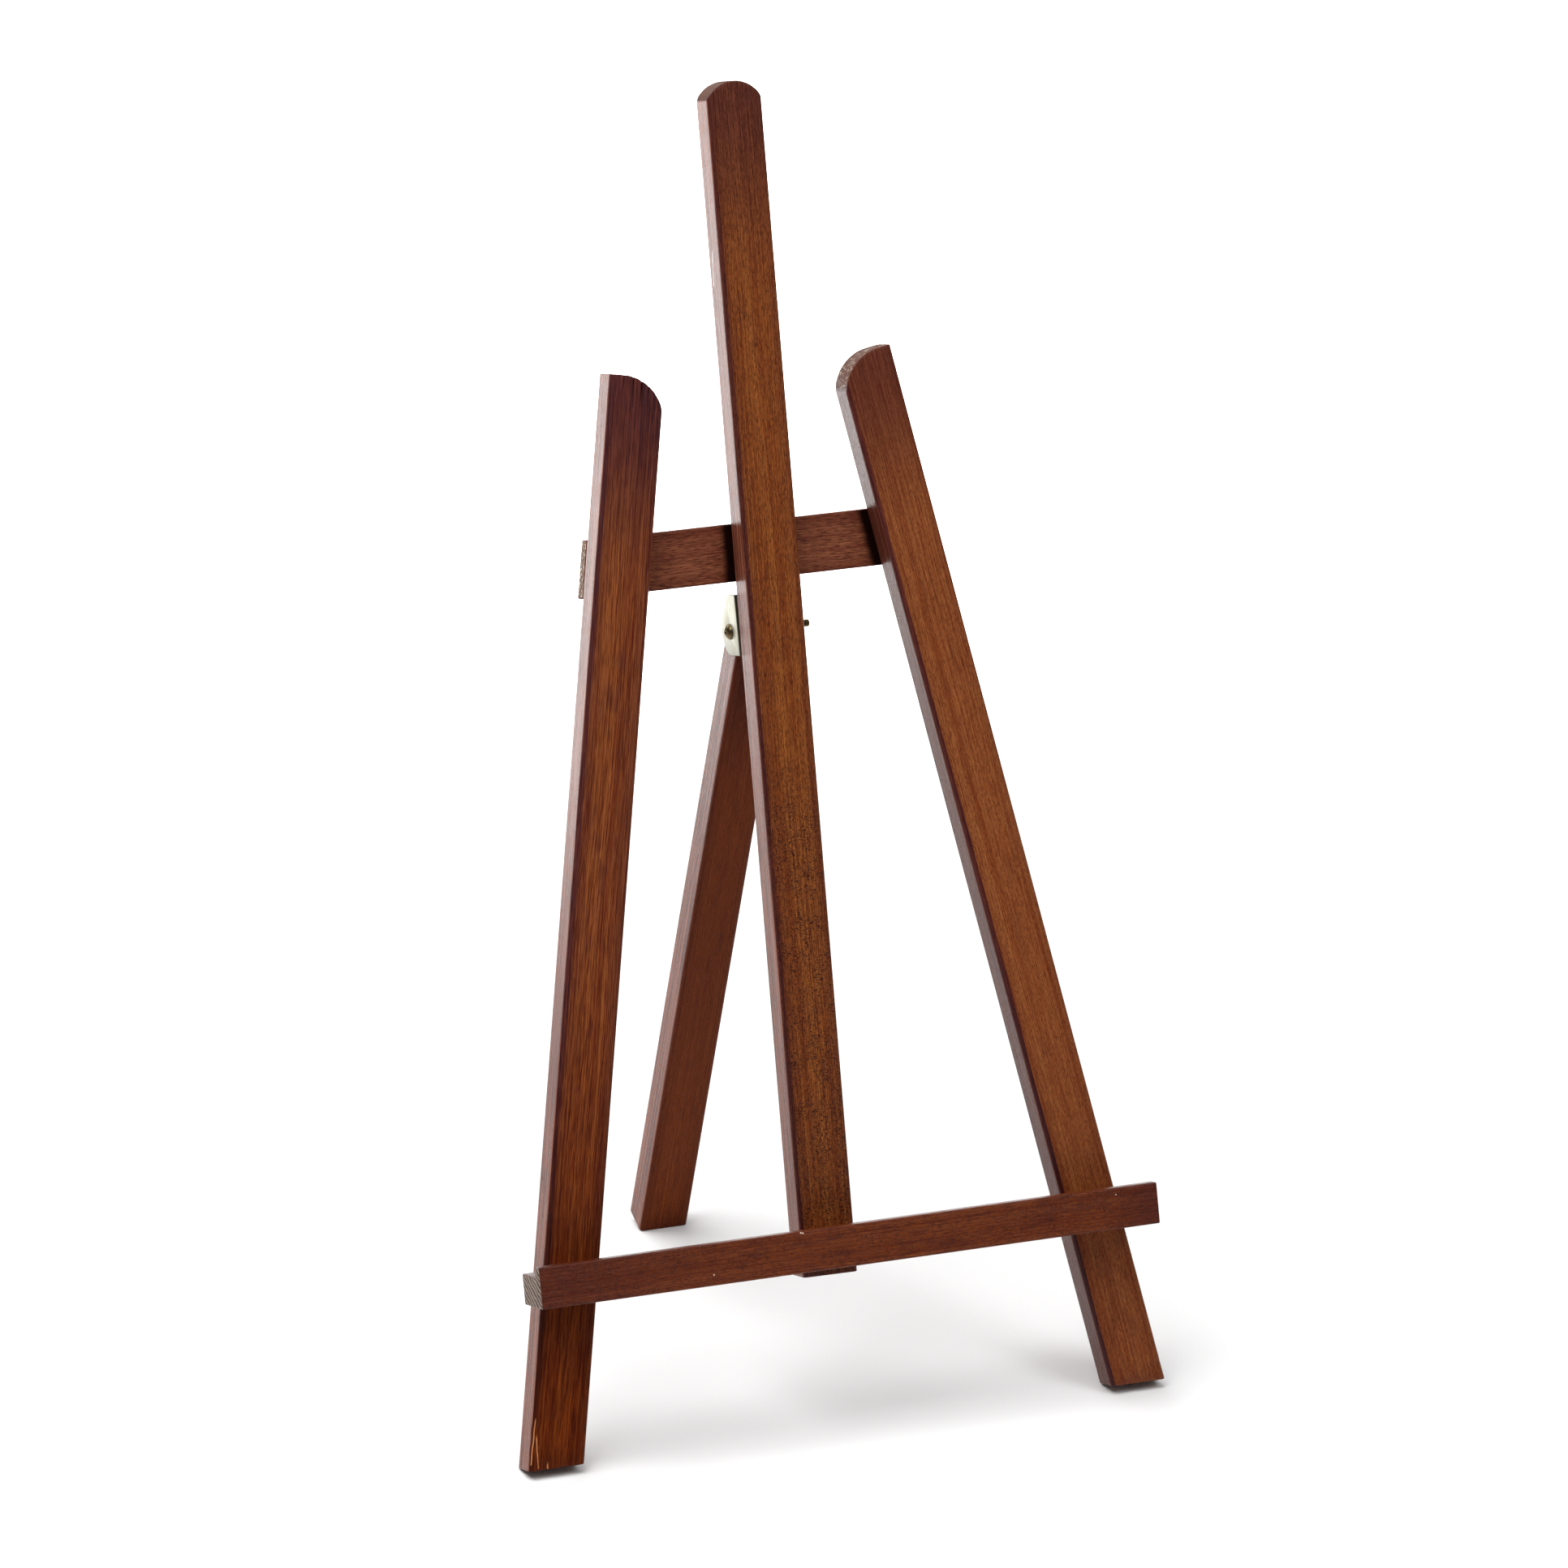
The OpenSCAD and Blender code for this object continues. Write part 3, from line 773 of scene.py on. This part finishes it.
def end_grain(name, matrix, seed, pith=(-16.0, 34.0), spacing=1.5, chips=0.0):
    """Stained end grain: growth rings spaced round the pith's (u, d), open pores, and pale
    chips, as strong as chips says, where the saw tore it."""
    look = WOODS[name]
    g = Graph(name + "_end_grain")
    local = g.local(matrix)
    bent, shift = grain(g, local, seed)
    bands = rings(g, bent, seed, pith, spacing)
    speck = g.noise(g.stretch(local, (4.0, 4.0, 0.3), shift), detail=2.0)
    tone = g.math("MULTIPLY_ADD", g.math("SUBTRACT", speck, 0.5), 0.9, bands)
    body = g.mix(g.step(tone, 0.1, 0.95), srgb(*look["dark"]), srgb(*look["sawn"]))
    torn = g.noise(g.stretch(local, (0.7, 0.7, 0.7), shift), detail=3.0, roughness=0.7)
    torn = g.math("MULTIPLY", g.step(torn, 0.56, 0.62), chips)
    body = g.mix(torn, body, srgb(*TORN_WOOD))
    height = g.math("ADD", tone, g.math("MULTIPLY", torn, 2.0))
    return g.finish(height, bump=0.4, distance=0.0002, Base_Color=body, Roughness=0.55,
                    Specular_IOR_Level=SAWN_SHINE)


# ---------- wooden pieces ----------


def flat_end(v):
    """An end cut square across the slat at v."""
    def height(u, d):
        return np.full_like(u, v)
    return height


def leg_outline(side):
    """Heights of a front leg's cut foot and rounded top over u."""
    arc_u = SLAT_W / 2 - LEG_TOP_FLAT
    arc_v = LEG_LENGTH - LEG_TOP_R

    def bottom(u, d):
        return -side * u * math.tan(SPLAY)

    def top(u, d):
        inward = np.maximum(0.0, arc_u - side * u)
        return arc_v + np.sqrt(LEG_TOP_R ** 2 - inward ** 2)

    return bottom, top


def mast_outline():
    """Square foot and arched top."""
    arc_v = MAST_TOP - PIVOT_S - MAST_ARCH_R

    def top(u, d):
        return arc_v + np.sqrt(MAST_ARCH_R ** 2 - u ** 2)

    return flat_end(MAST_BOTTOM - PIVOT_S), top


def crossbar_outline():
    """The bar's ends lie in the legs' outer faces. u runs down the frame."""
    outer = SLAT_W / 2 / math.cos(SPLAY)

    def top(u, d):
        return FOOT_X - (CROSSBAR_MID - u) * math.tan(SPLAY) + outer

    def bottom(u, d):
        return -top(u, d)

    return bottom, top


def rear_outline():
    """Rear leg, the bolt at v = 0: foot cut square, standing on its front edge, and head
    bevelled where it bears on the bracket."""
    drop = (PIVOT.z / MM - REAR_T / 2 * math.sin(REAR_LEAN)) / math.cos(REAR_LEAN)
    stop = PIVOT_D - PLATE_T - STOP_GAP
    opening = LEAN + REAR_LEAN

    def top(u, d):
        y = d - REAR_T / 2
        bevel = (stop + y * math.cos(opening)) / math.sin(opening)
        return np.minimum(REAR_HEAD, bevel)

    return flat_end(-drop), top


# Knocks on the front faces: (u, v, radius, deep)
KNOCKS = {
    "mast": ((-10.0, 60.0, 2.4, 0.25), (9.6, -120.0, 2.2, 0.2)),
    "left_leg": ((-10.0, 14.0, 2.6, 0.4), (-9.8, 6.0, 2.8, 0.45), (-4.0, 0.6, 2.2, 0.4),
                 (5.0, -0.6, 2.0, 0.35), (-10.0, 118.0, 2.0, 0.25)),
    "right_leg": ((9.8, 5.0, 2.2, 0.3), (-3.0, 1.2, 2.0, 0.3)),
    "crossbar": ((-9.8, -62.0, 2.0, 0.2),),
    "rear_leg": ((8.6, -180.0, 2.2, 0.25),),
}
# Drying splits at the left leg's head: (u, length, width, deep)
SPLITS = ((-5.4, 6.0, 0.6, 2.0), (-1.6, 9.0, 0.9, 2.4), (1.8, 12.0, 1.1, 2.6),
          (4.6, 11.0, 0.8, 2.2))


def wooden_slat(name, width, depth, outline, matrix, seed, front_shine=FRONT_SHINE,
                side_shine=SIDE_SHINE, ease=EASE, amount=0.07, rough=0.1, chips=0.0):
    """A stained slat. Its broad faces, ends and sides each have their own material."""
    bottom, top = outline
    middle = np.zeros(1)
    reach = (float(bottom(middle, middle)[0]), float(top(middle, middle)[0]))
    stain = [wood(name, matrix, width, reach, seed, front_shine),
             end_grain(name, matrix, seed, chips=chips),
             wood(name, matrix, width, reach, seed, side_shine)]
    wear = hand_worked(seed, width, depth, outline, amount, rough, KNOCKS[name])
    obj = slat(name + "_wood", width, depth, ease, outline, matrix, stain, wear)
    across = (matrix.to_3x3() @ Vector((1, 0, 0))).normalized()
    for face in obj.data.polygons:
        if face.material_index == 0 and abs(face.normal.dot(across)) > 0.8:
            face.material_index = 2
    return obj


def build_mast():
    matrix = on_plane(HINGE_X, PIVOT_S, math.radians(MAST_TILT))
    return wooden_slat("mast", SLAT_W, SLAT_T, mast_outline(), matrix, 1.0, rough=0.05)


def build_left_leg():
    matrix = on_plane(-FOOT_X, 0, SPLAY)
    leg = wooden_slat("left_leg", SLAT_W, SLAT_T, leg_outline(-1), matrix, 2.0,
                      front_shine=DULL_SHINE, rough=0.2)
    splits = [split_room(u, LEG_LENGTH - run, LEG_LENGTH + 2, width, deep, matrix)
              for u, run, width, deep in SPLITS]
    cut(leg, splits)
    return leg


def build_right_leg():
    matrix = on_plane(FOOT_X, 0, -SPLAY)
    return wooden_slat("right_leg", SLAT_W, SLAT_T, leg_outline(1), matrix, 3.0,
                       side_shine=RIGHT_SIDE_SHINE, rough=0.2, chips=0.6)


def build_crossbar():
    matrix = on_plane(0, CROSSBAR_MID, math.pi / 2, SLAT_T)
    return wooden_slat("crossbar", CROSSBAR_H, CROSSBAR_T, crossbar_outline(), matrix, 4.0,
                       front_shine=DULL_SHINE, ease=CROSSBAR_EASE, amount=0.04, rough=0.35,
                       chips=0.8)


def build_rear_leg():
    matrix = REAR @ Matrix.Translation((0, -REAR_T / 2, 0))
    return wooden_slat("rear_leg", REAR_W, REAR_T, rear_outline(), matrix, 5.0,
                       front_shine=DULL_SHINE)


# Longest face round the ledge's section
LEDGE_STEP = 2.0
LEDGE_SEED = 6.0
CORNER_STEPS = 4


def ledge_section(inset):
    """L-shaped section as (depth, height) points, rear face on 0, lip at the front."""
    r = LEDGE_EASE - inset
    back, front = -inset, -LEDGE_DEPTH + inset
    lip = -LEDGE_DEPTH + LIP_T - inset
    low, seat, high = inset, LEDGE_SEAT - inset, LEDGE_SEAT + LIP_RISE - inset
    rounded = [(back, low, 1, -1), (back, seat, 1, 1), (lip, high, 1, 1),
               (front, high, -1, 1), (front, low, -1, -1)]
    points = []
    for y, z, out_y, out_z in rounded:
        if (y, z) == (lip, high):
            points.append((lip, seat))
        first = math.atan2(out_z, out_y) - math.pi / 4
        for k in range(CORNER_STEPS + 1):
            a = first + math.pi / 2 * k / CORNER_STEPS
            points.append((y - out_y * r + r * math.cos(a), z - out_z * r + r * math.sin(a)))
    return np.array(points)


def ledge_loop(inset):
    """The ledge's section as a (u, d) loop, its long sides split so that they can be uneven."""
    full = ledge_section(0.0)
    runs = np.linalg.norm(np.roll(full, -1, axis=0) - full, axis=1)
    points = ledge_section(inset)
    loop = []
    for a, b, run in zip(points, np.roll(points, -1, axis=0), runs):
        n = max(1, int(run / LEDGE_STEP))
        loop += [a + (b - a) * k / n for k in range(n)]
    depths, heights = np.array(loop).T
    return np.column_stack([-heights, depths])


def ledge_wear(points):
    """Sanded unevenness, towards the middle of the ledge's section."""
    mid_u, mid_d = -LEDGE_SEAT / 2, -LEDGE_DEPTH / 2
    worn = points.copy()
    for k, (u, d, v) in enumerate(points):
        swell = soft_noise(31.0, u / 12 + d / 9, v / 50)
        worn[k, 0] = mid_u + (u - mid_u) * (1 - 0.006 * swell)
        worn[k, 1] = mid_d + (d - mid_d) * (1 - 0.004 * swell)
    return worn


def build_ledge():
    """The ledge runs along x; its local v is x, its u is down the frame and its d is depth."""
    matrix = on_plane(0, LEDGE_LOW, math.pi / 2)
    half = LEDGE_LENGTH / 2
    layers = drawn_out(ledge_loop, flat_end(-half), flat_end(half), LEDGE_LENGTH - 2 * END_EASE)
    sides = skin(layers)
    count = len(layers[0])
    last = (len(layers) - 1) * count
    caps = [tuple(range(count))[::-1], tuple(range(last, last + count))]
    stain = [ledge_wood(matrix),
             end_grain("ledge", matrix, LEDGE_SEED, pith=(-75.0, -62.0), spacing=2.1)]
    points = ledge_wear(np.concatenate(layers))
    obj = make_object("ledge_wood", placed(points, matrix), sides + caps, stain)
    mark_ends(obj, len(sides))
    return obj


# Pale flecks on the ledge's front: (u down, v along, radius)
FLECKS = ((-15.4, -20.4, 0.3), (-15.2, -19.6, 0.3), (-4.2, -56.3, 0.28), (-13.3, 107.7, 0.25))


def flecks(g, u, d, v):
    pale = 0.0
    for at_u, at_v, radius in FLECKS:
        across = g.math("ABSOLUTE", g.math("SUBTRACT", u, at_u))
        along = g.math("ABSOLUTE", g.math("SUBTRACT", v, at_v))
        away = g.math("ADD", across, along)
        pale = g.math("MAXIMUM", g.step(away, radius * 1.6, radius * 0.7), pale)
    return g.math("MULTIPLY", pale, g.step(d, -LEDGE_DEPTH + 1.0, -LEDGE_DEPTH + 0.3))


def ledge_wood(matrix):
    """The ledge's long grain, the same all round its section."""
    look = WOODS["ledge"]
    g = Graph("ledge_stain")
    local = g.local(matrix)
    u, d, v = g.split(local)
    shade = dark_ends(g, v, (-LEDGE_LENGTH / 2, LEDGE_LENGTH / 2), look)
    bent, shift = grain(g, local, LEDGE_SEED)
    body, height, roughness = stained(g, v, bent, shift, look, shade)
    body = g.mix(flecks(g, u, d, v), body, srgb(*FLECK))
    return g.finish(height, **GRAIN_BUMP, Base_Color=body, Roughness=roughness,
                    Specular_IOR_Level=FRONT_SHINE)


def build_wood():
    """The six wooden pieces by the CAD node that each stands for."""
    return {
        "mast": build_mast(),
        "left_leg": build_left_leg(),
        "right_leg": build_right_leg(),
        "crossbar": build_crossbar(),
        "rear_leg": build_rear_leg(),
        "ledge": build_ledge(),
    }


def bore_wood(made):
    """Opens the room of every screw and of the hinge bolt in the wood."""
    cutters = {name: [] for name in made}

    def slats_at(s):
        return (("left_leg", leg_x(-1, s)), ("right_leg", leg_x(1, s)), ("mast", mast_x(s)))

    for name, x in slats_at(CROSSBAR_MID):
        for step in (-CROSSBAR_SCREW_STEP, CROSSBAR_SCREW_STEP):
            spot = driven(x + step, SLAT_T + CROSSBAR_T, CROSSBAR_MID + step)
            for wooden in (name, "crossbar"):
                cutters[wooden].append(screw_room(WOOD_SCREW, spot))
    for name, x in slats_at(LEDGE_SCREW_S):
        spot = driven(x, SLAT_T, LEDGE_SCREW_S)
        for wooden in (name, "ledge"):
            cutters[wooden].append(screw_room(LEDGE_SCREW, spot))
    for rise in (BRACKET_SCREW_UP, -BRACKET_SCREW_DOWN):
        spot = driven(HINGE_X, SLAT_T + PLATE_T, PIVOT_S + rise)
        cutters["mast"].append(screw_room(BRACKET_SCREW, spot))
    bore = [(0, -REAR_W), (BOLT_BORE_R, -REAR_W), (BOLT_BORE_R, REAR_W), (0, REAR_W)]
    vertices, faces = lathe(bore, 32)
    across = REAR @ Matrix.Rotation(math.pi / 2, 4, "Y")
    cutters["rear_leg"].append(make_object("room", placed(vertices, across), faces))
    for name, obj in made.items():
        cut(obj, cutters[name])


# ---------- metal ----------

# Painted shade in the crease where the bracket's bend meets the mast's back
MAST_CREASE_SHADE = (46, 40, 30)


def metal(name, colour, tarnish, rough, shade_at_mast=False):
    """Plated metal with fine scratches and slight tarnish. With shade_at_mast it paints shade on what
    lies within a millimetre of the mast's back, the crease where the bracket meets it."""
    g = Graph(name)
    source = g.node("ShaderNodeTexCoord").outputs["Object"]
    fine = g.noise(g.stretch(source, (900, 900, 90)), detail=3.0)
    cloud = g.noise(g.stretch(source, (220, 220, 220)), detail=3.0, roughness=0.6)
    body = g.mix(g.step(cloud, 0.4, 0.75), srgb(*colour), srgb(*tarnish))
    if shade_at_mast:
        depth = g.split(g.local(PLANE))[1]
        depth = g.math("MULTIPLY_ADD", g.math("SUBTRACT", cloud, 0.5), 0.8, depth)
        near = g.step(depth, SLAT_T + 1.1, SLAT_T + 0.6, 0.0, 0.9)
        body = g.mix(near, body, srgb(*MAST_CREASE_SHADE))
    roughness = g.math("MULTIPLY_ADD", fine, 0.16, rough)
    return g.finish(fine, bump=0.08, distance=0.00003, Base_Color=body, Roughness=roughness,
                    Metallic=1.0)


def softened(node, name, material, width):
    """A copy of a CAD node's mesh with its sharp edges rounded to width millimetres."""
    source = frame["nodes"][node]
    obj = bpy.data.objects.new(name, source.data.copy())
    bpy.context.scene.collection.objects.link(obj)
    work = bmesh.new()
    work.from_mesh(obj.data)
    bmesh.ops.remove_doubles(work, verts=work.verts, dist=1e-6)
    bmesh.ops.dissolve_limit(work, angle_limit=math.radians(1.0), verts=work.verts,
                             edges=work.edges)
    work.to_mesh(obj.data)
    work.free()
    step = obj.modifiers.new("soften", "BEVEL")
    step.width = width * MM
    step.segments = 3
    step.limit_method = "ANGLE"
    step.angle_limit = math.radians(40)
    bpy.context.view_layer.update()
    apply_modifiers(obj)
    obj.data.materials.clear()
    obj.data.materials.append(material)
    shade_smooth(obj.data)
    return obj


def build_hardware():
    """Bracket, bolt and nut by the CAD node that each stands for, and the screws' finish."""
    # The bracket gets painted shade where its bend meets the mast
    pale = metal("pale_brass", (140, 138, 124), (128, 124, 104), 0.3, shade_at_mast=True)
    dark = metal("dark_brass", (120, 104, 74), (74, 60, 40), 0.24)
    zinc = metal("zinc", (205, 205, 200), (160, 160, 156), 0.26)
    made = {
        "hinge_bracket": softened("hinge_bracket", "bracket_plate_u", pale, 0.15),
        "hinge_bolt": softened("hinge_bolt", "bolt_turned", dark, 0.08),
        "hinge_nut": softened("hinge_nut", "nut_turned", dark, 0.1),
    }
    for node, obj in frame["nodes"].items():
        if "screw" in node:
            obj.data.materials.clear()
            obj.data.materials.append(zinc)
    return made


# ---------- studio ----------

# The camera's direction from the easel, its distance and the point it looks at, in metres
CAMERA_AZIMUTH = math.radians(-20.745)
CAMERA_ELEVATION = math.radians(20.465)
CAMERA_ROLL = math.radians(0.544)
CAMERA_DISTANCE = 3.5598
CAMERA_LENS = 221.21
CAMERA_AIM_X = -0.029746
CAMERA_AIM_Z = 0.267747


def build_camera():
    data = bpy.data.cameras.new("camera")
    data.lens = CAMERA_LENS
    data.sensor_width = 36.0
    data.clip_end = 60.0
    obj = bpy.data.objects.new("camera", data)
    bpy.context.scene.collection.objects.link(obj)
    azimuth, elevation = CAMERA_AZIMUTH, CAMERA_ELEVATION
    back = Vector((math.sin(azimuth) * math.cos(elevation),
                   -math.cos(azimuth) * math.cos(elevation), math.sin(elevation)))
    level = Vector((math.cos(azimuth), math.sin(azimuth), 0))
    upright = back.cross(level)
    right = level * math.cos(CAMERA_ROLL) + upright * math.sin(CAMERA_ROLL)
    up = upright * math.cos(CAMERA_ROLL) - level * math.sin(CAMERA_ROLL)
    aim = Vector((CAMERA_AIM_X, PLANE_ORIGIN.y, CAMERA_AIM_Z))
    turn = Matrix((right, up, back)).transposed().to_4x4()
    obj.matrix_world = Matrix.Translation(aim + back * CAMERA_DISTANCE) @ turn
    bpy.context.scene.camera = obj


FLOOR_RADIUS = 14.0
FLOOR_SEGMENTS = 64
FLOOR_GREYS = ((0.80, 0.80, 0.80, 1), (0.83, 0.83, 0.83, 1))


def build_floor():
    turns = [2 * math.pi * k / FLOOR_SEGMENTS for k in range(FLOOR_SEGMENTS)]
    vertices = [(FLOOR_RADIUS * math.cos(a), FLOOR_RADIUS * math.sin(a), 0) for a in turns]
    g = Graph("studio_floor")
    source = g.node("ShaderNodeTexCoord").outputs["Object"]
    cloud = g.noise(g.stretch(source, (3, 3, 3)), detail=2.0)
    shade = g.mix(cloud, *FLOOR_GREYS)
    material = g.finish(Base_Color=shade, Roughness=0.9, Specular_IOR_Level=0.1)
    floor = make_object("studio_floor", vertices, [tuple(range(FLOOR_SEGMENTS))], [material])


EASEL_MIDDLE = (0, 0, 0.2)
# Area lights: (name, place, what it faces, (width, height), watts). The background ones face
# down and whiten the floor behind the easel.
LIGHTS = (
    ("softbox_top", (-0.70, -0.24, 2.15), EASEL_MIDDLE, (1.8, 1.8), 62),
    ("softbox_front_right", (1.04, -1.56, 2.0), EASEL_MIDDLE, (1.1, 1.1), 19.5),
    ("background_near", (-0.15, 1.54, 0.15), (-0.15, 1.54, 0), (3.1, 1.7), 58),
    ("background_far", (-0.8, 3.9, 2.2), (-0.8, 3.9, 0), (4.0, 2.4), 150),
)
ROOM_LIGHT = 0.2


def area_light(name, place, aim, size, power):
    data = bpy.data.lights.new(name, "AREA")
    data.shape = "RECTANGLE"
    data.size, data.size_y = size
    data.energy = power
    obj = bpy.data.objects.new(name, data)
    bpy.context.scene.collection.objects.link(obj)
    obj.location = place
    obj.rotation_euler = (Vector(aim) - Vector(place)).to_track_quat("-Z", "Y").to_euler()
    obj.visible_camera = False


def build_lights():
    for light in LIGHTS:
        area_light(*light)
    world = bpy.data.worlds.new("studio")
    bpy.context.scene.world = world
    world.use_nodes = True
    background = world.node_tree.nodes["Background"]
    background.inputs["Color"].default_value = (1, 1, 1, 1)
    background.inputs["Strength"].default_value = ROOM_LIGHT
    bpy.context.scene.view_settings.view_transform = "Standard"


# ---------- assembly ----------

build_camera()
build_floor()
build_lights()
wooden = build_wood()
bore_wood(wooden)
hardware = build_hardware()

for node, piece in {**wooden, **hardware}.items():
    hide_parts(node)
    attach(piece, "rear_leg" if node == "rear_leg" else "frame")
